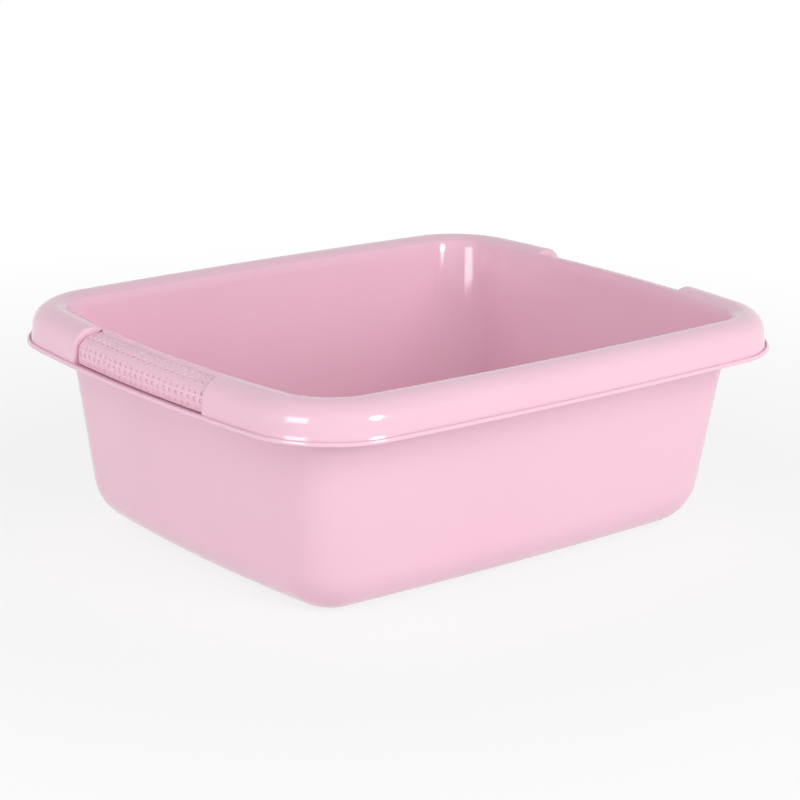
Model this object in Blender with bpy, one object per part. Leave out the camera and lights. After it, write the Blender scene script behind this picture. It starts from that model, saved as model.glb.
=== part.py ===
"""Rectangular washing basin with a hollow rolled rim and a separate grip clipped into each short end.

The basin's outline is a rounded rectangle whose four sides bow outwards. One section is lofted round
it: base, fillet, drafted wall, hollow rim, flange ledge and inner wall. In the middle of each short end
the rim steps down between two collars to a pocket. A narrow lip behind the pocket carries the inner
edge on. Each grip is a shell with a leg at either end. It rests on the pocket's top and floor, and a
slot stays open between the shell's foot and the ledge.

Units are metres, +Z is up, and the origin lies on the ground under the middle of the basin.
"""
import math
from collections import namedtuple

import bmesh
import bpy

# Overall size, over the flange
LENGTH = 0.380
WIDTH = 0.3105
RIM_FOOT = 0.1104           # height of the flange's underside over the ground
END_BOW = 0.0116            # how far the short ends bulge out
SIDE_BOW = 0.00525          # how far the long sides bulge out
CORNER_RADIUS = 0.0456      # of the flange's outer edge

# Base, where the drafted walls would meet the ground
BASE_LENGTH = 0.3012
BASE_WIDTH = 0.2349
BASE_END_BOW = 0.0056
BASE_SIDE_BOW = 0.0030
BASE_CORNER_RADIUS = 0.0269
BASE_FILLET = 0.0266
FLAT_CORNER_RADIUS = 0.003  # least corner radius of the flat floor inside the fillet
FLOOR = 0.0028              # floor thickness over the foot ring
FOOT_RING_WIDTH = 0.010     # flat ring that the basin stands on
FOOT_RECESS = 0.0010        # how far the middle of the base stays off the ground
FOOT_STEP_WIDTH = 0.0012

# Walls
WALL = 0.0018               # bowl
SKIN = 0.0018               # rim, flange and pocket

# Rim section, across from the flange's outer edge and up from its underside
RIM_WIDTH = 0.02335         # to the basin's inner edge
INNER_EDGE = 0.01934        # height of the inner edge
INNER_EDGE_RADIUS = 0.0012
INNER_TIGHTENING = 0.0034   # how much tighter the inner edge's corners are than concentric ones
TIGHTENING_FADE = 6         # power of the height by which this fades down the bowl's wall
WALL_SHARES = (0.58, 0.81)  # shares of the wall's height with rings that follow the fade
CROWN = 0.02156             # height of the rim's highest line
CROWN_INSET = 0.0151
SHOULDER = 0.0100           # height where the rim's face starts to curve over
RIM_INSET = 0.0034          # of the rim's face, without its lean
FACE_LEAN = 0.0012          # how far the face's foot stands out from that
CHANNEL_FILLET = 0.0022     # between the bowl's wall and the underside of the crown

# Flange ledge, and the thin notch between it and the rim's face
LEDGE_EDGE = 0.0018         # height of the ledge's outer edge
LEDGE_ROUND = 0.0005
LEDGE_WIDTH = 0.0015
LEDGE_HEIGHT = 0.00205      # at its back
NOTCH_DEPTH = 0.0007

# Pockets in the short ends
POCKET_LENGTH = 0.122
POCKET_INSET = 0.0092       # of the pocket's back wall
POCKET_FLOOR = 0.0004       # height of its floor
POCKET_FLOOR_SKIN = 0.0013
POCKET_SHOULDER = 0.0080    # height where its back wall starts to curve over
POCKET_CROWN_INSET = 0.0170
LIP_WIDTH = 0.0023          # thickness of the lip behind the pocket
LIP_ROUND = 0.0004          # of its top edge
DRAFT = 0.0002              # lean of the collars' end faces and of the ledge's back
COLLAR_RADIUS = 0.0020      # rounding of the collars' edges

# Grips
GRIP_CROWN = 0.0177         # height of a grip's highest line
GRIP_INSET = 0.0053         # of its upright face
GRIP_FOOT = 0.0020          # height of its foot, over the slot
GRIP_SKIN = 0.0016
SEAT_GAP = 0.0003           # between a grip and what it rests against
END_GAP = 0.0006            # between a grip's end and the collar
LEG_WIDTH = 0.0014
LEG_STEP = 0.00002          # over which a leg's side face stands

# Smoothness
ARC_STEPS = 5               # across the crown, and round each base fillet
CORNER_STEPS = 8
SIDE_STEPS = 6
GRIP_STEPS = 6
COLLAR_STEPS = 3
SHARP_EDGE = 40             # degrees between faces, above which an edge is shaded sharp

PINK = (0.86, 0.55, 0.66, 1.0)
ROUGHNESS = 0.25
GRIP_ROUGHNESS = 0.35

POCKET_TOP = GRIP_CROWN - GRIP_SKIN - SEAT_GAP      # height of the surface that the grip rests on

Shape = namedtuple("Shape", "half_length half_width radius end_bow side_bow")
Ring = namedtuple("Ring", "family full pocket")
Station = namedtuple("Station", "side end spot outer inner")


def rim_shape(inset):
    """Outline of the rim at an inset from the flange's outer edge."""
    half_length = LENGTH / 2 - END_BOW - inset
    half_width = WIDTH / 2 - SIDE_BOW - inset
    share = max(inset - CROWN_INSET, 0) / (RIM_WIDTH - CROWN_INSET)
    radius = CORNER_RADIUS - inset - INNER_TIGHTENING * share
    return Shape(half_length, half_width, radius, END_BOW, SIDE_BOW)


def wall_shape(inset, height):
    """Outline of the bowl's wall at a height over the ground, at an inset from its outer face."""
    span = RIM_WIDTH - WALL
    base = Shape(BASE_LENGTH / 2 - BASE_END_BOW, BASE_WIDTH / 2 - BASE_SIDE_BOW, BASE_CORNER_RADIUS,
                 BASE_END_BOW, BASE_SIDE_BOW)
    top = Shape(LENGTH / 2 - END_BOW - span, WIDTH / 2 - SIDE_BOW - span, CORNER_RADIUS - span,
                END_BOW, SIDE_BOW)
    share = height / (RIM_FOOT + INNER_EDGE)
    mixed = [low + (high - low) * share for low, high in zip(base, top)]
    tightening = INNER_TIGHTENING * share ** TIGHTENING_FADE
    radius = max(mixed[2] - inset - tightening, FLAT_CORNER_RADIUS)
    return Shape(mixed[0] - inset, mixed[1] - inset, radius, mixed[3], mixed[4])


def bowed(shape, x, y):
    """Bulge a point of a plain rounded rectangle out with its sides."""
    stretch_x = 1 + shape.end_bow / shape.half_length * (1 - (y / shape.half_width) ** 2)
    stretch_y = 1 + shape.side_bow / shape.half_width * (1 - (x / shape.half_length) ** 2)
    return x * stretch_x, y * stretch_y


def outline_point(shape, station):
    """Where a station lies on an outline."""
    straight_x = shape.half_length - shape.radius
    straight_y = shape.half_width - shape.radius
    if station.side == "pocket":
        return bowed(shape, station.end * shape.half_length, station.spot)
    if station.side == "end":
        start = POCKET_LENGTH / 2 + collar_offsets()[-1]
        share = abs(station.spot)
        y = math.copysign(start + (straight_y - start) * share, station.spot)
        return bowed(shape, station.end * shape.half_length, y)
    if station.side == "long":
        return bowed(shape, straight_x * station.spot, station.end * shape.half_width)
    angle = station.spot
    middle_x = math.copysign(straight_x, math.cos(angle))
    middle_y = math.copysign(straight_y, math.sin(angle))
    return bowed(shape, middle_x + shape.radius * math.cos(angle), middle_y + shape.radius * math.sin(angle))


def quarter(steps):
    """Angles over a quarter turn."""
    return [math.pi / 2 * step / steps for step in range(steps + 1)]


def collar_share(offset):
    """Share of the full rim section at a distance past the pocket's end."""
    if offset <= 0:
        return 0.0
    rounded = COLLAR_RADIUS / (POCKET_INSET - RIM_INSET + FACE_LEAN)
    if offset < DRAFT:
        return (1 - rounded) * offset / DRAFT
    left = min((offset - DRAFT) / COLLAR_RADIUS, 1.0)
    return 1 - rounded * (1 - math.sqrt(1 - (1 - left) ** 2))


def collar_offsets():
    """Distances past the pocket's end of a collar's stations: outer skin first, then inner skin."""
    skin = [0.0] + [DRAFT + COLLAR_RADIUS * (1 - math.cos(turn)) for turn in quarter(COLLAR_STEPS)]
    return sorted(skin + [offset + SKIN for offset in skin])


def end_stations(end):
    """Stations along the short end at +X (end 1, y rising) or -X (end -1, y falling)."""
    half = POCKET_LENGTH / 2
    collar = [(offset, collar_share(offset), collar_share(offset - SKIN)) for offset in collar_offsets()]
    inside = range(1, GRIP_STEPS)
    rising = [Station("end", end, -1 + step / 2, 1.0, 1.0) for step in (0, 1)]
    rising += [Station("pocket", end, -half - offset, outer, inner) for offset, outer, inner in collar[::-1]]
    rising += [Station("pocket", end, half * (2 * step / GRIP_STEPS - 1), 0.0, 0.0) for step in inside]
    rising += [Station("pocket", end, half + offset, outer, inner) for offset, outer, inner in collar]
    rising += [Station("end", end, (step + 1) / 2, 1.0, 1.0) for step in (0, 1)]
    return rising if end > 0 else rising[::-1]


def corner_stations(number):
    """Stations inside one corner's arc, without its two ends."""
    angles = [(number + step / CORNER_STEPS) * math.pi / 2 for step in range(1, CORNER_STEPS)]
    return [Station("corner", 0, angle, 1.0, 1.0) for angle in angles]


def long_stations(end):
    """Stations along the long side at +Y (end 1, x falling) or -Y (end -1, x rising), with its ends."""
    falling = [Station("long", end, 1 - 2 * step / SIDE_STEPS, 1.0, 1.0) for step in range(SIDE_STEPS + 1)]
    return falling if end > 0 else falling[::-1]


def all_stations():
    """Every station round the basin, anticlockwise seen from above."""
    return (end_stations(1) + corner_stations(0) + long_stations(1) + corner_stations(1)
            + end_stations(-1) + corner_stations(2) + long_stations(-1) + corner_stations(3))


def crown_arc(inset, low, high, top_inset, turn):
    """A point of the quarter ellipse from a face up to a crown, as inset and height."""
    return top_inset - (top_inset - inset) * math.cos(turn), low + (high - low) * math.sin(turn)


def leaned(inset, height):
    """A point of the rim's face or inner skin, moved out by the face's lean."""
    share = min((CROWN - height) / (CROWN - LEDGE_HEIGHT), 1.0)
    return inset - FACE_LEAN * share ** 3, height


def back_slope(inset):
    """Height of the full rim behind its crown."""
    share = max(inset - CROWN_INSET, 0) / (RIM_WIDTH - INNER_EDGE_RADIUS - CROWN_INSET)
    return CROWN - (CROWN - INNER_EDGE) * share ** 2


def wall_heights():
    """Heights over the ground of the rings between the wall's foot and its top."""
    return [(RIM_FOOT + INNER_EDGE) * share for share in WALL_SHARES]


def base_rings():
    """Underside of the base and outer fillet, from the middle outwards."""
    inner = BASE_FILLET + FOOT_RING_WIDTH
    flats = [(inner + FOOT_STEP_WIDTH, FOOT_RECESS), (inner, 0.0)]
    rounded = [(BASE_FILLET * (1 - math.cos(turn)), BASE_FILLET * (1 - math.sin(turn)))
               for turn in reversed(quarter(ARC_STEPS))]
    return [Ring("wall", spot, spot) for spot in flats + rounded]


def channel_rings():
    """Outer face of the bowl's wall, then the rim's inner skin out to the flange's underside."""
    crown, pocket = CROWN - SKIN, POCKET_TOP - SKIN
    pocket_inset = POCKET_INSET + SKIN
    wall_top = INNER_EDGE - SKIN
    wall_inset = RIM_WIDTH - WALL - CHANNEL_FILLET
    fillet_foot = RIM_FOOT - CHANNEL_FILLET
    rings = [Ring("wall", (0.0, height), (0.0, height)) for height in wall_heights()]
    rings.append(Ring("wall", (0.0, fillet_foot + wall_top), (0.0, fillet_foot + pocket)))
    rings.append(Ring("inner", (wall_inset, wall_top), (wall_inset, pocket)))
    for turn in reversed(quarter(ARC_STEPS)):
        full = leaned(*crown_arc(RIM_INSET + SKIN, SHOULDER, crown, CROWN_INSET, turn))
        under = crown_arc(pocket_inset, POCKET_SHOULDER, pocket, POCKET_CROWN_INSET, turn)
        rings.append(Ring("inner", full, under))
    underside = POCKET_FLOOR - POCKET_FLOOR_SKIN
    rings.append(Ring("inner", (RIM_INSET - FACE_LEAN + SKIN, 0.0), (pocket_inset, underside)))
    step = LEDGE_WIDTH + LEDGE_ROUND
    rings.append(Ring("inner", (step, 0.0), (step, underside)))
    rings.append(Ring("inner", (LEDGE_WIDTH, 0.0), (LEDGE_WIDTH, 0.0)))
    return rings


def ledge_rings():
    """Flange from its underside round its outer edge, and the notch or the pocket's floor behind it."""
    low, high = LEDGE_ROUND, LEDGE_EDGE - LEDGE_ROUND
    spots = [(low, 0.0), (0.0, low), (0.0, high), (low, LEDGE_EDGE), (LEDGE_WIDTH, LEDGE_HEIGHT)]
    rings = [Ring("rim", spot, spot) for spot in spots]
    face = RIM_INSET - FACE_LEAN
    notch = ((LEDGE_WIDTH + face) / 2, LEDGE_HEIGHT - NOTCH_DEPTH)
    rings.append(Ring("rim", notch, (LEDGE_WIDTH + DRAFT, POCKET_FLOOR)))
    rings.append(Ring("rim", (face, LEDGE_HEIGHT), (POCKET_INSET, POCKET_FLOOR)))
    return rings


def crown_rings():
    """Rim face or pocket wall from its foot over the crown, then the lip and the inner edge."""
    middle = (LEDGE_HEIGHT + SHOULDER) / 2
    rings = [Ring("rim", leaned(RIM_INSET, middle), (POCKET_INSET, POCKET_SHOULDER / 2))]
    for turn in quarter(ARC_STEPS):
        full = leaned(*crown_arc(RIM_INSET, SHOULDER, CROWN, CROWN_INSET, turn))
        pocket = crown_arc(POCKET_INSET, POCKET_SHOULDER, POCKET_TOP, POCKET_CROWN_INSET, turn)
        rings.append(Ring("rim", full, pocket))
    lip = RIM_WIDTH - LIP_WIDTH
    lip_spots = [(lip, POCKET_TOP), (lip, INNER_EDGE - LIP_ROUND), (lip + LIP_ROUND, INNER_EDGE)]
    rings += [Ring("rim", (inset, back_slope(inset)), (inset, height)) for inset, height in lip_spots]
    half = INNER_EDGE_RADIUS * (1 - math.sqrt(0.5))
    edge_spots = [(RIM_WIDTH - INNER_EDGE_RADIUS, INNER_EDGE), (RIM_WIDTH - half, INNER_EDGE - half)]
    return rings + [Ring("rim", spot, spot) for spot in edge_spots]


def inside_rings():
    """Inner wall, inner fillet and the edge of the inside floor."""
    upright = [(WALL, RIM_FOOT + INNER_EDGE - INNER_EDGE_RADIUS)]
    upright += [(WALL, height) for height in reversed(wall_heights())]
    radius = BASE_FILLET - WALL
    rounded = [(WALL + radius * (1 - math.cos(turn)), FLOOR + radius * (1 - math.sin(turn)))
               for turn in quarter(ARC_STEPS)]
    return [Ring("wall", spot, spot) for spot in upright + rounded]


def ring_points(ring, stations):
    """Corner points of one ring, with the pocket's section mixed in where the rim steps down."""
    points = []
    for station in stations:
        weight = station.outer if ring.family == "rim" else station.inner
        inset, height = (low + (high - low) * weight for low, high in zip(ring.pocket, ring.full))
        if ring.family == "wall":
            x, y = outline_point(wall_shape(inset, height), station)
            points.append((x, y, height))
        else:
            x, y = outline_point(rim_shape(inset), station)
            points.append((x, y, RIM_FOOT + height))
    return points


def skin_between(mesh, loops, closed):
    """Join each loop of points to the next with four-sided faces, closing each loop if asked."""
    for low, high in zip(loops, loops[1:]):
        for spot in range(0 if closed else 1, len(low)):
            before = spot - 1
            mesh.faces.new((low[before], low[spot], high[spot], high[before]))


def plastic(name, roughness):
    """Pink plastic."""
    material = bpy.data.materials.new(name)
    material.use_nodes = True
    shader = material.node_tree.nodes["Principled BSDF"]
    shader.inputs["Base Color"].default_value = PINK
    shader.inputs["Roughness"].default_value = roughness
    shader.inputs["Metallic"].default_value = 0.0
    return material


def finish(mesh, name, material):
    """Turn a closed mesh into a named object."""
    bmesh.ops.recalc_face_normals(mesh, faces=mesh.faces)
    data = bpy.data.meshes.new(name)
    mesh.to_mesh(data)
    mesh.free()
    data.shade_smooth()
    data.set_sharp_from_angle(angle=math.radians(SHARP_EDGE))
    data.materials.append(material)
    part = bpy.data.objects.new(name, data)
    bpy.context.scene.collection.objects.link(part)
    return part


def build_basin():
    """The bowl with its rim, pockets and collars, as one moulding."""
    rings = base_rings() + channel_rings() + ledge_rings() + crown_rings() + inside_rings()
    stations = all_stations()
    mesh = bmesh.new()
    loops = [[mesh.verts.new(point) for point in ring_points(ring, stations)] for ring in rings]
    skin_between(mesh, loops, closed=True)
    mesh.faces.new(reversed(loops[0]))
    mesh.faces.new(loops[-1])
    return finish(mesh, "basin", plastic("pink_plastic", ROUGHNESS))


def grip_section(is_leg):
    """Closed section of a grip: up its face, over the crown and back along its inside."""
    foot = POCKET_FLOOR + SEAT_GAP if is_leg else GRIP_FOOT
    back = POCKET_INSET - SEAT_GAP if is_leg else GRIP_INSET + GRIP_SKIN
    under = GRIP_CROWN - GRIP_SKIN
    rear = RIM_WIDTH - LIP_WIDTH - SEAT_GAP
    outside = [crown_arc(GRIP_INSET, POCKET_SHOULDER, GRIP_CROWN, POCKET_CROWN_INSET, turn)
               for turn in quarter(ARC_STEPS)]
    inside = [crown_arc(back, POCKET_SHOULDER, under, POCKET_CROWN_INSET, turn)
              for turn in reversed(quarter(ARC_STEPS))]
    return [(GRIP_INSET, foot)] + outside + [(rear, GRIP_CROWN), (rear, under)] + inside + [(back, foot)]


def grip_spots():
    """Places along a grip from its middle line, each with whether its section is a leg's."""
    half = POCKET_LENGTH / 2 - END_GAP
    shell = half - LEG_WIDTH - LEG_STEP
    spots = [(-half, True), (-half + LEG_WIDTH, True)]
    spots += [(shell * (2 * step / GRIP_STEPS - 1), False) for step in range(GRIP_STEPS + 1)]
    return spots + [(half - LEG_WIDTH, True), (half, True)]


def build_grip(name, end):
    """One grip: a thin shell over the pocket with a leg at either end."""
    mesh = bmesh.new()
    loops = []
    for spot, is_leg in grip_spots():
        station = Station("pocket", end, spot, 0.0, 0.0)
        loop = []
        for inset, height in grip_section(is_leg):
            x, y = outline_point(rim_shape(inset), station)
            loop.append(mesh.verts.new((x, y, RIM_FOOT + height)))
        loops.append(loop)
    skin_between(mesh, loops, closed=True)
    caps = [mesh.faces.new(reversed(loops[0])), mesh.faces.new(loops[-1])]
    bmesh.ops.triangulate(mesh, faces=caps)
    return finish(mesh, name, plastic(name + "_plastic", GRIP_ROUGHNESS))


def main():
    """Clear the scene and build the three pieces."""
    for old in list(bpy.data.objects):
        bpy.data.objects.remove(old, do_unlink=True)
    build_basin()
    build_grip("grip_left", -1)
    build_grip("grip_right", 1)


main()
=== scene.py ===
"""Looks of the rectangular basin: a glossy pink moulding with a dimpled grip in each short end,
in a plain pale studio.

The moulding and the grips repeat the part's outlines and sections with finer steps, and the
grips carry rows of round pits. Units are metres in the part's own frame: +Z is up, and the
origin is under its middle.
"""
import math
from collections import namedtuple

import bmesh
import bpy
import numpy as np
from mathutils import Matrix, Vector


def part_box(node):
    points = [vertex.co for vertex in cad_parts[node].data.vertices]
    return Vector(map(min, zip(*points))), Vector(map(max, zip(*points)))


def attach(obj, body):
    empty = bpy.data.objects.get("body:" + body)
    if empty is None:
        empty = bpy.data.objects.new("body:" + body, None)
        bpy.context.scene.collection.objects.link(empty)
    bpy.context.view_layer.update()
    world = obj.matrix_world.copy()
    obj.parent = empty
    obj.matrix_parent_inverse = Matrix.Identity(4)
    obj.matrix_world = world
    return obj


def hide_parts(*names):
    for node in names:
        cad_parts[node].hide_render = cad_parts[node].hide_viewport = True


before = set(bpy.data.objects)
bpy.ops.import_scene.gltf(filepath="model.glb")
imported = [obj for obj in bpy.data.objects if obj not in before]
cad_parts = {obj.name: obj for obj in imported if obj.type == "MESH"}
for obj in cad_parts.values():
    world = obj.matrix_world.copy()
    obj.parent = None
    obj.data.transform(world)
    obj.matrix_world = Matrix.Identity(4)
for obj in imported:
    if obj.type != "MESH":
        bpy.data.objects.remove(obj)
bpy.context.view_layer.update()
LOW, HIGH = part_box("basin")
GRIP_LOW, GRIP_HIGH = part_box("grip_left")

# Overall size, over the flange
LENGTH = HIGH[0] - LOW[0]
WIDTH = HIGH[1] - LOW[1]
CROWN = 0.02156             # height of the rim's highest line over the flange's underside
RIM_FOOT = HIGH[2] - CROWN  # height of the flange's underside over the ground
END_BOW = 0.0116            # how far the short ends bulge out
SIDE_BOW = 0.00525          # how far the long sides bulge out
CORNER_RADIUS = 0.0456      # of the flange's outer edge

# Base, where the drafted walls would meet the ground
BASE_LENGTH = 0.3012
BASE_WIDTH = 0.2349
BASE_END_BOW = 0.0056
BASE_SIDE_BOW = 0.0030
BASE_CORNER_RADIUS = 0.0269
BASE_FILLET = 0.0266
FLAT_CORNER_RADIUS = 0.003  # least corner radius of the flat floor inside the fillet
FLOOR = 0.0028              # floor thickness over the foot ring
FOOT_RING_WIDTH = 0.010     # flat ring that the basin stands on
FOOT_RECESS = 0.0010        # how far the middle of the base stays off the ground
FOOT_STEP_WIDTH = 0.0012
FLOOR_MARGIN = 0.004        # from a flat's edge to the line that keeps its shading flat

# Walls
WALL = 0.0018               # bowl
SKIN = 0.0018               # rim, flange and pocket
# Heights of the lines up the bowl's wall, as shares of the wall
WALL_LINES = (0.01, 0.15, 0.3, 0.45, 0.6, 0.7, 0.8, 0.88, 0.94)

# Rim section, across from the flange's outer edge and up from its underside
RIM_WIDTH = 0.02335         # to the basin's inner edge
INNER_EDGE = 0.01934        # height of the inner edge
INNER_EDGE_RADIUS = 0.0012
INNER_TIGHTENING = 0.0034   # how much tighter the inner edge's corners are than concentric ones
TIGHTENING_FADE = 6         # power of the height by which this fades down the bowl's wall
CROWN_INSET = 0.0151
SHOULDER = 0.0100           # height where the rim's face starts to curve over
RIM_INSET = 0.0034          # of the rim's face, without its lean
FACE_LEAN = 0.0010          # how far the face's foot stands out from that
LEAN_FADE = 3               # power of the depth under the crown by which this fades upwards
CHANNEL_FILLET = 0.0022     # between the bowl's wall and the underside of the crown

# Flange ledge, and the thin notch between it and the rim's face
LEDGE_EDGE = 0.0022         # height of the ledge's outer edge
LEDGE_ROUND = 0.0005
LEDGE_SLANT = 0.0004        # how far the outer edge leans in
LEDGE_WIDTH = 0.0015
LEDGE_HEIGHT = 0.0023       # at its back
NOTCH_DEPTH = 0.0008

# Grips
GRIP_HALF = GRIP_HIGH[1]    # half a grip's length
GRIP_CROWN = GRIP_HIGH[2] - RIM_FOOT
GRIP_INSET = LENGTH / 2 + GRIP_LOW[0]
GRIP_FOOT = 0.0017          # height of its foot, over the slot
GRIP_SKIN = 0.0016
GRIP_ROUND = 0.0003         # of its edges
SEAT_GAP = 0.0003           # between a grip and what it rests against
REAR_GAP = 0.0001           # between a grip's back edge and the lip
END_GAP = 0.0006            # between a grip's end and the collar
LEG_WIDTH = 0.0014
COVE_INSET = 0.0189         # where a grip's top starts to curve up to the lip
COVE_RISE = 0.0012

# Pockets in the short ends
POCKET_HALF = GRIP_HALF + END_GAP                   # half a pocket's length
POCKET_INSET = 0.0092       # of the pocket's back wall
POCKET_FLOOR = 0.0012       # height of its floor
POCKET_FLOOR_SKIN = 0.0013
POCKET_SHOULDER = 0.0080    # height where its back wall starts to curve over
POCKET_CROWN_INSET = 0.0170
POCKET_TOP = GRIP_CROWN - GRIP_SKIN - SEAT_GAP      # height of the surface under a grip
LIP_WIDTH = 0.0023          # thickness of the lip behind the pocket
GRIP_REAR = RIM_WIDTH - LIP_WIDTH - REAR_GAP        # inset of a grip's back edge
LIP_ROUND = 0.0004          # of its top edge
DRAFT = 0.0002              # lean of the collars' end faces and of the ledge's back
COLLAR_RADIUS = 0.0020      # rounding of the collars' edges

# Smoothness
FILLET_STEPS = 14           # base fillets
CROWN_STEPS = 14            # crown
ROUND_STEPS = 3             # small roundings
FACE_STEPS = 4
SLOPE_STEPS = 3             # behind the crown
CURVE_STEPS = 60            # when a curve is measured
CORNER_STEPS = 24
SIDE_STEPS = 24
END_STEPS = 6
POCKET_STEPS = 16
COLLAR_STEPS = 9
SHARP_EDGE = 35             # degrees between faces, above which an edge is shaded sharp

# Pits of the grips, on a grid of columns along the grip and lines across it
HALF_COLUMNS = 91           # from the grip's middle to the rounding of its end
PITCH_COLUMNS = 8           # from one pit to the next, 5.28 mm
GRIP_LINES = 46             # from the grip's foot to its back edge
COVE_LINE = 38              # where the cove behind the last row starts
NORMAL_REACH = 0.0002       # from a pit's middle to the points round it that give its normal
# Rings of a pit from its rim inwards, each as a share of its radius and one of its depth
PIT_PROFILE = ((1.12, 0.0), (1.0, 0.07), (0.93, 0.34), (0.84, 0.64), (0.66, 0.88), (0.36, 0.98))

Shape = namedtuple("Shape", "half_length half_width radius end_bow side_bow")
Ring = namedtuple("Ring", "family full pocket")
Station = namedtuple("Station", "side end spot outer inner")
Row = namedtuple("Row", "line distance radius depth block shift last")

# Each row: its line, its distance up the grip from the foot, the pits' radius and depth, the
# half width of the block of cells that a pit takes, the shift of its pits in columns, and the
# last pit's number, counted from the middle
PIT_ROWS = (
    Row(3, 0.0019, 0.00085, 0.0006, 2, 0, 9),
    Row(9, 0.0060, 0.00140, 0.0010, 3, 0, 11),
    Row(16, 0.0104, 0.00150, 0.0010, 3, 0, 11),
    Row(26, 0.0171, 0.00150, 0.0010, 3, 0, 11),
    Row(32, 0.0215, 0.00105, 0.0012, 2, -3, 11),
    Row(36, 0.0239, 0.00105, 0.0012, 2, 3, 11),
)


def rim_shape(inset):
    """Outline of the rim at an inset from the flange's outer edge."""
    half_length = LENGTH / 2 - END_BOW - inset
    half_width = WIDTH / 2 - SIDE_BOW - inset
    share = max(inset - CROWN_INSET, 0) / (RIM_WIDTH - CROWN_INSET)
    radius = CORNER_RADIUS - inset - INNER_TIGHTENING * share
    return Shape(half_length, half_width, radius, END_BOW, SIDE_BOW)


def wall_shape(inset, height):
    """Outline of the bowl's wall at a height over the ground, at an inset from its outer face."""
    span = RIM_WIDTH - WALL
    base = Shape(BASE_LENGTH / 2 - BASE_END_BOW, BASE_WIDTH / 2 - BASE_SIDE_BOW,
                 BASE_CORNER_RADIUS, BASE_END_BOW, BASE_SIDE_BOW)
    top = Shape(LENGTH / 2 - END_BOW - span, WIDTH / 2 - SIDE_BOW - span, CORNER_RADIUS - span,
                END_BOW, SIDE_BOW)
    share = height / (RIM_FOOT + INNER_EDGE)
    mixed = Shape(*(low + (high - low) * share for low, high in zip(base, top)))
    tightening = INNER_TIGHTENING * share ** TIGHTENING_FADE
    radius = max(mixed.radius - inset - tightening, FLAT_CORNER_RADIUS)
    return Shape(mixed.half_length - inset, mixed.half_width - inset, radius,
                 mixed.end_bow, mixed.side_bow)


def bowed(shape, x, y):
    """Bulge a point of a plain rounded rectangle out with its sides."""
    stretch_x = 1 + shape.end_bow / shape.half_length * (1 - (y / shape.half_width) ** 2)
    stretch_y = 1 + shape.side_bow / shape.half_width * (1 - (x / shape.half_length) ** 2)
    return x * stretch_x, y * stretch_y


def outline_point(shape, station):
    """Where a station lies on an outline."""
    straight_x = shape.half_length - shape.radius
    straight_y = shape.half_width - shape.radius
    if station.side == "pocket":
        return bowed(shape, station.end * shape.half_length, station.spot)
    if station.side == "end":
        start = POCKET_HALF + collar_offsets()[-1]
        share = abs(station.spot)
        y = math.copysign(start + (straight_y - start) * share, station.spot)
        return bowed(shape, station.end * shape.half_length, y)
    if station.side == "long":
        return bowed(shape, straight_x * station.spot, station.end * shape.half_width)
    angle = station.spot
    middle_x = math.copysign(straight_x, math.cos(angle))
    middle_y = math.copysign(straight_y, math.sin(angle))
    return bowed(shape, middle_x + shape.radius * math.cos(angle),
                 middle_y + shape.radius * math.sin(angle))


def quarter(steps):
    """Angles over a quarter turn."""
    return [math.pi / 2 * step / steps for step in range(steps + 1)]


def collar_share(offset):
    """Share of the full rim section at a distance past the pocket's end."""
    if offset <= 0:
        return 0.0
    rounded = COLLAR_RADIUS / (POCKET_INSET - RIM_INSET + FACE_LEAN)
    if offset < DRAFT:
        return (1 - rounded) * offset / DRAFT
    left = min((offset - DRAFT) / COLLAR_RADIUS, 1.0)
    return 1 - rounded * (1 - math.sqrt(1 - (1 - left) ** 2))


def collar_offsets():
    """Distances past the pocket's end of a collar's stations: outer skin first, then inner skin."""
    skin = [0.0] + [DRAFT + COLLAR_RADIUS * (1 - math.cos(turn)) for turn in quarter(COLLAR_STEPS)]
    return sorted(skin + [offset + SKIN for offset in skin])


def end_stations(end):
    """Stations along the short end at +X (end 1, y rising) or -X (end -1, y falling)."""
    half = POCKET_HALF
    collar = [(offset, collar_share(offset), collar_share(offset - SKIN))
              for offset in collar_offsets()]
    rising = [Station("end", end, -1 + step / END_STEPS, 1.0, 1.0) for step in range(END_STEPS)]
    rising += [Station("pocket", end, -half - offset, outer, inner)
               for offset, outer, inner in collar[::-1]]
    rising += [Station("pocket", end, half * (2 * step / POCKET_STEPS - 1), 0.0, 0.0)
               for step in range(1, POCKET_STEPS)]
    rising += [Station("pocket", end, half + offset, outer, inner)
               for offset, outer, inner in collar]
    rising += [Station("end", end, (step + 1) / END_STEPS, 1.0, 1.0)
               for step in range(END_STEPS)]
    return rising if end > 0 else rising[::-1]


def corner_stations(number):
    """Stations inside one corner's arc, without its two ends."""
    angles = [(number + step / CORNER_STEPS) * math.pi / 2 for step in range(1, CORNER_STEPS)]
    return [Station("corner", 0, angle, 1.0, 1.0) for angle in angles]


def long_stations(end):
    """Stations of the long side at +Y (end 1, x falling) or -Y (end -1, x rising), with ends."""
    falling = [Station("long", end, 1 - 2 * step / SIDE_STEPS, 1.0, 1.0)
               for step in range(SIDE_STEPS + 1)]
    return falling if end > 0 else falling[::-1]


def all_stations():
    """Every station round the basin, anticlockwise seen from above."""
    return (end_stations(1) + corner_stations(0) + long_stations(1) + corner_stations(1)
            + end_stations(-1) + corner_stations(2) + long_stations(-1) + corner_stations(3))


def crown_arc(inset, low, high, top_inset, turn):
    """A point of the quarter ellipse from a face up to a crown, as inset and height."""
    return top_inset - (top_inset - inset) * math.cos(turn), low + (high - low) * math.sin(turn)


def leaned(inset, height):
    """A point of the rim's face or inner skin, moved out by the face's lean."""
    share = min((CROWN - height) / (CROWN - LEDGE_HEIGHT), 1.0)
    return inset - FACE_LEAN * share ** LEAN_FADE, height


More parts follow.
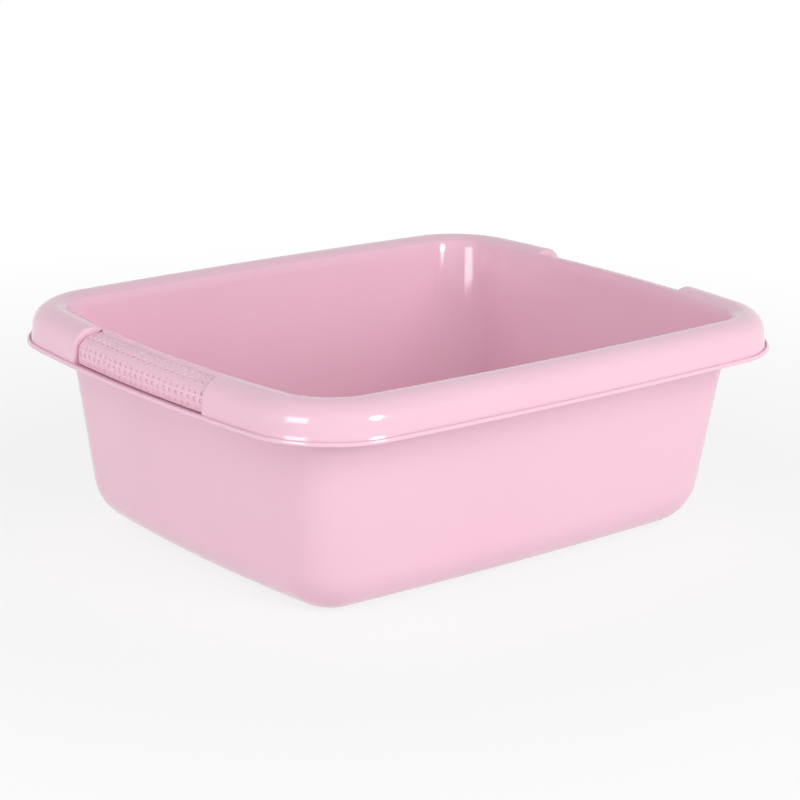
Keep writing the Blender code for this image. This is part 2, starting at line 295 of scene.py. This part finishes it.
def back_slope(inset):
    """Height of the full rim behind its crown."""
    share = max(inset - CROWN_INSET, 0) / (RIM_WIDTH - INNER_EDGE_RADIUS - CROWN_INSET)
    return CROWN - (CROWN - INNER_EDGE) * share ** 2


def same(family, spots):
    """Rings whose section is the same along the pockets and elsewhere."""
    return [Ring(family, spot, spot) for spot in spots]


def base_rings():
    """Underside of the base and outer fillet, from the middle outwards."""
    inner = BASE_FILLET + FOOT_RING_WIDTH
    step = inner + FOOT_STEP_WIDTH
    flats = [(step + FLOOR_MARGIN, FOOT_RECESS), (step, FOOT_RECESS), (inner, 0.0)]
    rounded = [(BASE_FILLET * (1 - math.cos(turn)), BASE_FILLET * (1 - math.sin(turn)))
               for turn in reversed(quarter(FILLET_STEPS))]
    return same("wall", flats + rounded)


def channel_rings():
    """Outer face of the bowl's wall, then the rim's inner skin out to the flange's underside."""
    crown, pocket = CROWN - SKIN, POCKET_TOP - SKIN
    pocket_inset = POCKET_INSET + SKIN
    wall_top = INNER_EDGE - SKIN
    low = BASE_FILLET
    full_high, pocket_high = (RIM_FOOT + top - CHANNEL_FILLET for top in (wall_top, pocket))
    rings = [Ring("wall", (0.0, low + (full_high - low) * share),
                  (0.0, low + (pocket_high - low) * share)) for share in WALL_LINES + (1.0,)]
    for turn in quarter(ROUND_STEPS)[1:]:
        inset = RIM_WIDTH - WALL - CHANNEL_FILLET * (1 - math.cos(turn))
        drop = CHANNEL_FILLET * (1 - math.sin(turn))
        rings.append(Ring("inner", (inset, wall_top - drop), (inset, pocket - drop)))
    for turn in reversed(quarter(CROWN_STEPS)):
        full = leaned(*crown_arc(RIM_INSET + SKIN, SHOULDER, crown, CROWN_INSET, turn))
        under = crown_arc(pocket_inset, POCKET_SHOULDER, pocket, POCKET_CROWN_INSET, turn)
        rings.append(Ring("inner", full, under))
    underside = POCKET_FLOOR - POCKET_FLOOR_SKIN
    rings.append(Ring("inner", (RIM_INSET - FACE_LEAN + SKIN, 0.0), (pocket_inset, underside)))
    step = LEDGE_WIDTH + LEDGE_ROUND
    rings.append(Ring("inner", (step, 0.0), (step, underside)))
    return rings + same("inner", [(LEDGE_WIDTH, 0.0)])


def ledge_rings():
    """Flange from its underside round its outer edge, and the notch or pocket floor behind it."""
    corner = LEDGE_ROUND
    lower = [(corner * (1 - math.sin(turn)), corner * (1 - math.cos(turn)))
             for turn in quarter(ROUND_STEPS)]
    upper = [(LEDGE_SLANT + corner * (1 - math.cos(turn)),
              LEDGE_EDGE - corner * (1 - math.sin(turn))) for turn in quarter(ROUND_STEPS)]
    rings = same("rim", lower + upper + [(LEDGE_WIDTH, LEDGE_HEIGHT)])
    face = RIM_INSET - FACE_LEAN
    notch = ((LEDGE_WIDTH + face) / 2, LEDGE_HEIGHT - NOTCH_DEPTH)
    rings.append(Ring("rim", notch, (LEDGE_WIDTH + DRAFT, POCKET_FLOOR)))
    rings.append(Ring("rim", (face, LEDGE_HEIGHT), (POCKET_INSET, POCKET_FLOOR)))
    return rings


def crown_rings():
    """Rim face or pocket wall from its foot over the crown, then the lip and the inner edge."""
    rings = []
    for step in range(1, FACE_STEPS):
        height = LEDGE_HEIGHT + (SHOULDER - LEDGE_HEIGHT) * step / FACE_STEPS
        pocket_height = POCKET_FLOOR + (POCKET_SHOULDER - POCKET_FLOOR) * step / FACE_STEPS
        rings.append(Ring("rim", leaned(RIM_INSET, height), (POCKET_INSET, pocket_height)))
    for turn in quarter(CROWN_STEPS):
        full = leaned(*crown_arc(RIM_INSET, SHOULDER, CROWN, CROWN_INSET, turn))
        pocket = crown_arc(POCKET_INSET, POCKET_SHOULDER, POCKET_TOP, POCKET_CROWN_INSET, turn)
        rings.append(Ring("rim", full, pocket))
    lip = RIM_WIDTH - LIP_WIDTH
    for step in range(1, SLOPE_STEPS + 1):
        inset, pocket_inset = (start + (lip - start) * step / SLOPE_STEPS
                               for start in (CROWN_INSET, POCKET_CROWN_INSET))
        rings.append(Ring("rim", (inset, back_slope(inset)), (pocket_inset, POCKET_TOP)))
    spots = [(lip + LIP_ROUND * (1 - math.cos(turn)), INNER_EDGE - LIP_ROUND * (1 - math.sin(turn)))
             for turn in quarter(ROUND_STEPS)]
    rings += [Ring("rim", (inset + DRAFT, back_slope(inset + DRAFT)), (inset, height))
              for inset, height in spots]
    edge = [(RIM_WIDTH - INNER_EDGE_RADIUS * (1 - math.sin(turn)),
             INNER_EDGE - INNER_EDGE_RADIUS * (1 - math.cos(turn)))
            for turn in quarter(ROUND_STEPS + 1)[:-1]]
    return rings + same("rim", edge)


def inside_rings():
    """Inner wall, inner fillet and the edge of the inside floor."""
    radius = BASE_FILLET - WALL
    top = RIM_FOOT + INNER_EDGE - INNER_EDGE_RADIUS
    low = FLOOR + radius
    spots = [(WALL, low + (top - low) * share) for share in (1.0,) + WALL_LINES[::-1]]
    spots += [(WALL + radius * (1 - math.cos(turn)), FLOOR + radius * (1 - math.sin(turn)))
              for turn in quarter(FILLET_STEPS)]
    spots.append((WALL + radius + FLOOR_MARGIN, FLOOR))
    return same("wall", spots)


def ring_points(ring, stations):
    """Corner points of one ring, with the pocket's section mixed in where the rim steps down."""
    points = []
    for station in stations:
        weight = station.outer if ring.family == "rim" else station.inner
        inset, height = (low + (high - low) * weight for low, high in zip(ring.pocket, ring.full))
        if ring.family == "wall":
            x, y = outline_point(wall_shape(inset, height), station)
            points.append((x, y, height))
        else:
            x, y = outline_point(rim_shape(inset), station)
            points.append((x, y, RIM_FOOT + height))
    return points


def finish(mesh, name, material):
    """Turn a closed mesh into a named object."""
    bmesh.ops.recalc_face_normals(mesh, faces=mesh.faces)
    data = bpy.data.meshes.new(name)
    mesh.to_mesh(data)
    mesh.free()
    data.shade_smooth()
    data.set_sharp_from_angle(angle=math.radians(SHARP_EDGE))
    data.materials.append(material)
    piece = bpy.data.objects.new(name, data)
    bpy.context.scene.collection.objects.link(piece)
    return piece


def build_moulding(material):
    """The basin with its rim, pockets and collars."""
    rings = base_rings() + channel_rings() + ledge_rings() + crown_rings() + inside_rings()
    stations = all_stations()
    mesh = bmesh.new()
    loops = [[mesh.verts.new(point) for point in ring_points(ring, stations)] for ring in rings]
    for low, high in zip(loops, loops[1:]):
        for spot in range(len(stations)):
            mesh.faces.new((low[spot - 1], low[spot], high[spot], high[spot - 1]))
    mesh.faces.new(reversed(loops[0]))
    mesh.faces.new(loops[-1])
    return finish(mesh, "moulding", material)


class Curve:
    """A section line whose points can be asked for by their distance along it."""

    def __init__(self, spots):
        self.spots = np.array(spots)
        steps = np.linalg.norm(np.diff(self.spots, axis=0), axis=1)
        self.distances = np.concatenate(([0.0], np.cumsum(steps)))
        self.length = float(self.distances[-1])

    def at(self, distance):
        """The point at a distance along the line."""
        return tuple(float(np.interp(distance, self.distances, values)) for values in self.spots.T)


def grip_curve(drop=0.0):
    """A grip's face from foot over crown to back edge, set back by a drop near its ends."""
    top = GRIP_CROWN - drop
    spots = [(GRIP_INSET + drop, GRIP_FOOT + GRIP_ROUND)]
    spots += [crown_arc(GRIP_INSET + drop, POCKET_SHOULDER, top, POCKET_CROWN_INSET, turn)
              for turn in quarter(CURVE_STEPS)]
    spots += [(COVE_INSET + (GRIP_REAR - COVE_INSET) * math.sin(turn),
               top + COVE_RISE * (1 - math.cos(turn))) for turn in quarter(CURVE_STEPS)]
    return Curve(spots)


def line_distances(face):
    """Distance from the foot of each line of a grip's grid, with the pit rows on their lines."""
    cove = float(np.interp(COVE_INSET, face.spots[:, 0], face.distances))
    lines = [0] + [row.line for row in PIT_ROWS] + [COVE_LINE, GRIP_LINES]
    distances = [0.0] + [row.distance for row in PIT_ROWS] + [cove, face.length]
    return [float(np.interp(line, lines, distances)) for line in range(GRIP_LINES + 1)]


def grip_inside(is_leg, drop):
    """The rest of a grip's section, from its back edge along its inside to its foot."""
    under = GRIP_CROWN - GRIP_SKIN
    foot = POCKET_FLOOR + SEAT_GAP if is_leg else GRIP_FOOT
    back = POCKET_INSET - SEAT_GAP if is_leg else GRIP_INSET + GRIP_SKIN
    spots = [(GRIP_REAR, under)]
    spots += [crown_arc(back, POCKET_SHOULDER, under, POCKET_CROWN_INSET, turn)
              for turn in reversed(quarter(CROWN_STEPS))]
    return spots + [(back, foot), (GRIP_INSET + GRIP_ROUND + drop, foot)]


def grip_columns():
    """Places along a grip: distance from its middle, drop of its face, and column or None."""
    flat = GRIP_HALF - GRIP_ROUND
    rounding = [(flat + GRIP_ROUND * math.sin(turn), GRIP_ROUND * (1 - math.cos(turn)), None)
                for turn in quarter(ROUND_STEPS)[1:]]
    columns = [(flat * column / HALF_COLUMNS, 0.0, column)
               for column in range(-HALF_COLUMNS, HALF_COLUMNS + 1)]
    return [(-spot, drop, None) for spot, drop, _ in rounding[::-1]] + columns + rounding


def grip_point(inset, height, end, spot):
    """A point of a grip by its section and its place along the grip."""
    x, y = outline_point(rim_shape(inset), Station("pocket", end, spot, 0.0, 0.0))
    return Vector((x, y, RIM_FOOT + height))


def pit_places():
    """The row and the middle column of every pit of one grip."""
    places = []
    for row in PIT_ROWS:
        for number in range(-row.last, row.last + 1):
            column = number * PITCH_COLUMNS + row.shift
            if abs(column) + row.block <= HALF_COLUMNS:
                places.append((row, column))
    return places


def pit_cells(places):
    """Cells of the grip's grid that the pits take, as column and line."""
    return {(column + across, row.line + up) for row, column in places
            for across in range(-row.block, row.block) for up in range(-row.block, row.block)}


def block_edge(row, column):
    """Columns and lines of the grid points round a pit's block, in order."""
    left, right = column - row.block, column + row.block
    low, high = row.line - row.block, row.line + row.block
    edge = [(spot, low) for spot in range(left, right)]
    edge += [(right, line) for line in range(low, high)]
    edge += [(spot, high) for spot in range(right, left, -1)]
    return edge + [(left, line) for line in range(high, low, -1)]


def face_normal(face, end, y, distance):
    """Outward normal of a grip's face."""
    def at(side, up):
        return grip_point(*face.at(distance + up * NORMAL_REACH), end, y + side * NORMAL_REACH)

    return (at(1, 0) - at(-1, 0)).cross(at(0, 1) - at(0, -1)).normalized() * end


def add_pit(mesh, face, end, row, column, corners, distances):
    """Close a pit's block with a round rim and a dished pit."""
    width = (GRIP_HALF - GRIP_ROUND) / HALF_COLUMNS
    middle_y = column * width
    normal = face_normal(face, end, middle_y, row.distance)
    edge = block_edge(row, column)
    outer = [corners[spot][line] for spot, line in edge]
    angles = [math.atan2(distances[line] - row.distance, (spot - column) * width)
              for spot, line in edge]
    for reach, sink in PIT_PROFILE:
        inner = []
        for angle in angles:
            y = middle_y + row.radius * reach * math.cos(angle)
            distance = row.distance + row.radius * reach * math.sin(angle)
            place = grip_point(*face.at(distance), end, y) - normal * row.depth * sink
            inner.append(mesh.verts.new(place))
        for spot in range(len(edge)):
            mesh.faces.new((outer[spot - 1], outer[spot], inner[spot], inner[spot - 1]))
        outer = inner
    bottom = mesh.verts.new(grip_point(*face.at(row.distance), end, middle_y) - normal * row.depth)
    for spot in range(len(edge)):
        mesh.faces.new((outer[spot - 1], outer[spot], bottom))


def build_grip(name, end, material):
    """One grip as a closed mesh: a thin shell with a leg at either end and rows of pits."""
    face = grip_curve()
    distances = line_distances(face)
    places = pit_places()
    cells = pit_cells(places)
    mesh = bmesh.new()
    loops = []
    corners = {}
    for spot, drop, column in grip_columns():
        line = grip_curve(drop)
        is_leg = abs(spot) > GRIP_HALF - LEG_WIDTH
        section = [line.at(distance / face.length * line.length) for distance in distances]
        section += grip_inside(is_leg, drop)
        loop = [mesh.verts.new(grip_point(inset, height, end, spot)) for inset, height in section]
        loops.append((column, loop))
        corners[column] = loop
    for (before, low), (column, high) in zip(loops, loops[1:]):
        for line in range(len(low)):
            if None not in (before, column) and (before, line - 1) in cells:
                continue
            mesh.faces.new((low[line - 1], low[line], high[line], high[line - 1]))
    for row, column in places:
        add_pit(mesh, face, end, row, column, corners, distances)
    caps = [mesh.faces.new(reversed(loops[0][1])), mesh.faces.new(loops[-1][1])]
    bmesh.ops.triangulate(mesh, faces=caps)
    return finish(mesh, name, material)


# Plastic
PINK_DEEP = (0.84, 0.52, 0.64, 1.0)
PINK_PALE = (0.88, 0.57, 0.68, 1.0)
DRIFT_NOISE = (9.0, 3.0)        # scale per metre and detail of the drift between these two
DRIFT_SHARE = (0.3, 0.7)        # least and greatest share of the pale one
BODY_ROUGHNESS = (0.08, 0.13)
GRIP_ROUGHNESS = (0.20, 0.28)
PATCH_NOISE = (40.0, 4.0)       # scale per metre and detail of the roughness
BODY_PEEL = (260.0, 0.000012)   # bumps per metre and their height
GRIP_GRAIN = (2600.0, 0.000010)
FINE_DETAIL = 2.0               # detail of the bumps and of the scratches
NOISE_RANGE = (0.35, 0.65)      # noise values that are stretched over a whole range
SCRATCH_RANGE = (0.70, 0.76)    # noise values from no scratch to a full one
SCRATCH_ROUGHNESS = 0.06        # what a full scratch adds
SCRATCH_SETS = (                # turn about the vertical in radians, and scale per metre by axis
    (0.5, (900.0, 14.0, 14.0)),
    (2.2, (700.0, 11.0, 11.0)),
)
IOR = 1.58                      # above polypropylene's 1.49, which makes the gloss stronger


def add_node(tree, kind, **settings):
    """A new node with its inputs or properties set."""
    node = tree.nodes.new(kind)
    for name, value in settings.items():
        label = name.replace("_", " ").title()
        if label in node.inputs:
            node.inputs[label].default_value = value
        else:
            setattr(node, name, value)
    return node


def spread(tree, source, low, high, source_range=NOISE_RANGE):
    """Stretch a range of a value over another range."""
    node = add_node(tree, "ShaderNodeMapRange")
    tree.links.new(source, node.inputs["Value"])
    names = ("From Min", "From Max", "To Min", "To Max")
    for name, value in zip(names, (*source_range, low, high)):
        node.inputs[name].default_value = value
    return node.outputs["Result"]


def scratches(tree, place):
    """Faint use marks: thin broken lines in two directions, as a value from 0 to 1."""
    marks = []
    for angle, scale in SCRATCH_SETS:
        turn = add_node(tree, "ShaderNodeMapping")
        turn.inputs["Rotation"].default_value = (0.0, 0.0, angle)
        turn.inputs["Scale"].default_value = scale
        tree.links.new(place, turn.inputs["Vector"])
        noise = add_node(tree, "ShaderNodeTexNoise", scale=1.0, detail=FINE_DETAIL)
        tree.links.new(turn.outputs["Vector"], noise.inputs["Vector"])
        marks.append(spread(tree, noise.outputs["Fac"], 0.0, 1.0, SCRATCH_RANGE))
    both = add_node(tree, "ShaderNodeMath", operation="MAXIMUM")
    tree.links.new(marks[0], both.inputs[0])
    tree.links.new(marks[1], both.inputs[1])
    return both.outputs["Value"]


def plastic(name, roughness, grain, scratched):
    """Pink polypropylene with slight colour drift, uneven gloss and a fine moulded surface."""
    material = bpy.data.materials.new(name)
    material.use_nodes = True
    tree = material.node_tree
    shader = tree.nodes["Principled BSDF"]
    shader.inputs["IOR"].default_value = IOR
    place = add_node(tree, "ShaderNodeTexCoord").outputs["Object"]
    drift = add_node(tree, "ShaderNodeTexNoise", scale=DRIFT_NOISE[0], detail=DRIFT_NOISE[1])
    tree.links.new(place, drift.inputs["Vector"])
    tint = add_node(tree, "ShaderNodeMix", data_type="RGBA")
    tint.inputs["A"].default_value = PINK_DEEP
    tint.inputs["B"].default_value = PINK_PALE
    tree.links.new(spread(tree, drift.outputs["Fac"], *DRIFT_SHARE), tint.inputs["Factor"])
    tree.links.new(tint.outputs["Result"], shader.inputs["Base Color"])
    patches = add_node(tree, "ShaderNodeTexNoise", scale=PATCH_NOISE[0], detail=PATCH_NOISE[1])
    tree.links.new(place, patches.inputs["Vector"])
    gloss = spread(tree, patches.outputs["Fac"], *roughness)
    peel = add_node(tree, "ShaderNodeTexNoise", scale=grain[0], detail=FINE_DETAIL)
    tree.links.new(place, peel.inputs["Vector"])
    bump = add_node(tree, "ShaderNodeBump", strength=1.0, distance=grain[1])
    tree.links.new(peel.outputs["Fac"], bump.inputs["Height"])
    if scratched:
        marks = scratches(tree, place)
        duller = add_node(tree, "ShaderNodeMath", operation="MULTIPLY_ADD")
        tree.links.new(marks, duller.inputs[0])
        duller.inputs[1].default_value = SCRATCH_ROUGHNESS
        tree.links.new(gloss, duller.inputs[2])
        gloss = duller.outputs["Value"]
    tree.links.new(gloss, shader.inputs["Roughness"])
    tree.links.new(bump.outputs["Normal"], shader.inputs["Normal"])
    return material


# Floor
FLOOR_SIZE = 12.0
FLOOR_DROP = 0.0002         # keeps the floor clear of the foot ring
FLOOR_COLOR = (0.86, 0.86, 0.86, 1.0)
FADE_RANGE = (0.30, 0.75)   # distances from the middle between which it fades to plain white
SHOWN_WHITE = 0.80          # share of plain white on the floor beside the basin


def seen_directly(tree):
    """1 for rays that show the surroundings: camera, glossy and transmission rays."""
    path = add_node(tree, "ShaderNodeLightPath")
    first = add_node(tree, "ShaderNodeMath", operation="MAXIMUM")
    tree.links.new(path.outputs["Is Camera Ray"], first.inputs[0])
    tree.links.new(path.outputs["Is Glossy Ray"], first.inputs[1])
    second = add_node(tree, "ShaderNodeMath", operation="MAXIMUM")
    tree.links.new(first.outputs["Value"], second.inputs[0])
    tree.links.new(path.outputs["Is Transmission Ray"], second.inputs[1])
    return second.outputs["Value"]


def floor_material():
    """Pale matt floor that keeps the basin's shadow and fades to plain white away from it."""
    material = bpy.data.materials.new("floor")
    material.use_nodes = True
    tree = material.node_tree
    tree.nodes.remove(tree.nodes["Principled BSDF"])
    matt = add_node(tree, "ShaderNodeBsdfDiffuse")
    matt.inputs["Color"].default_value = FLOOR_COLOR
    white = add_node(tree, "ShaderNodeEmission")
    place = add_node(tree, "ShaderNodeTexCoord").outputs["Object"]
    length = add_node(tree, "ShaderNodeVectorMath", operation="LENGTH")
    tree.links.new(place, length.inputs[0])
    fade = spread(tree, length.outputs["Value"], SHOWN_WHITE, 1.0, FADE_RANGE)
    share = add_node(tree, "ShaderNodeMath", operation="MULTIPLY")
    tree.links.new(fade, share.inputs[0])
    tree.links.new(seen_directly(tree), share.inputs[1])
    mix = add_node(tree, "ShaderNodeMixShader")
    tree.links.new(share.outputs["Value"], mix.inputs["Fac"])
    tree.links.new(matt.outputs["BSDF"], mix.inputs[1])
    tree.links.new(white.outputs["Emission"], mix.inputs[2])
    tree.links.new(mix.outputs["Shader"], tree.nodes["Material Output"].inputs["Surface"])
    return material


def build_floor():
    """A plain pale floor under the basin."""
    mesh = bmesh.new()
    bmesh.ops.create_grid(mesh, x_segments=1, y_segments=1, size=FLOOR_SIZE / 2)
    data = bpy.data.meshes.new("floor")
    mesh.to_mesh(data)
    mesh.free()
    data.materials.append(floor_material())
    ground = bpy.data.objects.new("floor", data)
    ground.location.z = -FLOOR_DROP
    bpy.context.scene.collection.objects.link(ground)


# World
AMBIENT = 1.08              # brightest part of the world's light on the basin
RING_RISE = (10.0, 32.0)    # degrees over the horizon where this light sets in
RING_FALL = (46.0, 56.0)    # and where it fades out


def build_world():
    """A soft ring of light round the basin, and plain white where the surroundings are seen."""
    world = bpy.data.worlds.new("studio")
    world.use_nodes = True
    tree = world.node_tree
    background = tree.nodes["Background"]
    background.inputs["Color"].default_value = (1.0, 1.0, 1.0, 1.0)
    split = add_node(tree, "ShaderNodeSeparateXYZ")
    tree.links.new(add_node(tree, "ShaderNodeTexCoord").outputs["Generated"], split.inputs[0])
    rise_range, fall_range = ([math.sin(math.radians(angle)) for angle in angles]
                              for angles in (RING_RISE, RING_FALL))
    rise = spread(tree, split.outputs["Z"], 0.0, AMBIENT, rise_range)
    fall = spread(tree, split.outputs["Z"], 1.0, 0.0, fall_range)
    ring = add_node(tree, "ShaderNodeMath", operation="MULTIPLY")
    tree.links.new(rise, ring.inputs[0])
    tree.links.new(fall, ring.inputs[1])
    strength = add_node(tree, "ShaderNodeMix", data_type="FLOAT")
    tree.links.new(seen_directly(tree), strength.inputs[0])
    tree.links.new(ring.outputs["Value"], strength.inputs[2])
    strength.inputs[3].default_value = 1.0
    tree.links.new(strength.outputs[0], background.inputs["Strength"])
    bpy.context.scene.world = world


# Soft boxes. Each has its name, shape, place, width, height and power, whether it lights the
# colour, and whether it shows in the gloss
Lamp = namedtuple("Lamp", "name shape place width height watts is_light is_shine")
LAMP_AIM = (0.0, 0.0, 0.08)
LAMPS = (
    Lamp("left", "RECTANGLE", (-1.594, -0.600, 0.44), 0.68, 0.66, 8.5, False, True),
    Lamp("right", "ELLIPSE", (0.388, -1.553, 0.47), 0.58, 0.58, 9.0, True, True),
    Lamp("front_fill", "RECTANGLE", (-0.300, -1.500, 0.95), 0.70, 0.70, 6.0, True, False),
    Lamp("left_fill", "RECTANGLE", (-1.550, 0.100, 0.32), 0.90, 0.50, 7.6, True, False),
)


def facing(direction):
    """Turn an object's -Z towards a direction."""
    return Vector(direction).to_track_quat("-Z", "Y")


def build_lamps():
    """The soft boxes."""
    for lamp in LAMPS:
        data = bpy.data.lights.new(lamp.name, "AREA")
        data.shape = lamp.shape
        data.size = lamp.width
        data.size_y = lamp.height
        data.energy = lamp.watts
        light = bpy.data.objects.new(lamp.name, data)
        light.location = lamp.place
        light.rotation_mode = "QUATERNION"
        light.rotation_quaternion = facing(Vector(LAMP_AIM) - Vector(lamp.place))
        light.visible_diffuse = lamp.is_light
        light.visible_glossy = lamp.is_shine
        bpy.context.scene.collection.objects.link(light)


# Camera, fitted to the photograph's edges
CAMERA_PLACE = (-0.88638, -1.06561, 0.36732 + RIM_FOOT)
CAMERA_YAW = math.radians(39.778)       # from +Y towards +X
CAMERA_PITCH = math.radians(16.227)     # downwards
CAMERA_ROLL = math.radians(1.210)
FOCAL_PIXELS = 2448.491
IMAGE_PIXELS = 800
SENSOR = 36.0                           # millimetres
CLIP_RANGE = (0.01, 50.0)


def build_camera():
    """The photograph's view."""
    yaw, pitch, roll = CAMERA_YAW, CAMERA_PITCH, CAMERA_ROLL
    forward = Vector((math.sin(yaw) * math.cos(pitch), math.cos(yaw) * math.cos(pitch),
                      -math.sin(pitch)))
    level = Vector((math.cos(yaw), -math.sin(yaw), 0.0))
    raised = level.cross(forward)
    right = level * math.cos(roll) + raised * math.sin(roll)
    up = raised * math.cos(roll) - level * math.sin(roll)
    data = bpy.data.cameras.new("camera")
    data.sensor_width = SENSOR
    data.lens = FOCAL_PIXELS / IMAGE_PIXELS * SENSOR
    data.clip_start, data.clip_end = CLIP_RANGE
    camera = bpy.data.objects.new("camera", data)
    turn = Matrix((right, up, -forward)).transposed().to_4x4()
    camera.matrix_world = Matrix.Translation(CAMERA_PLACE) @ turn
    bpy.context.scene.collection.objects.link(camera)
    bpy.context.scene.camera = camera


gloss = plastic("pink_gloss", BODY_ROUGHNESS, BODY_PEEL, True)
satin = plastic("pink_grip", GRIP_ROUGHNESS, GRIP_GRAIN, False)
pieces = (
    (build_moulding(gloss), "basin"),
    (build_grip("left_grip", -1, satin), "grip_left"),
    (build_grip("right_grip", 1, satin), "grip_right"),
)
for piece, node in pieces:
    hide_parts(node)
    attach(piece, "root")
build_floor()
build_world()
build_lamps()
build_camera()
bpy.context.scene.view_settings.view_transform = "Standard"
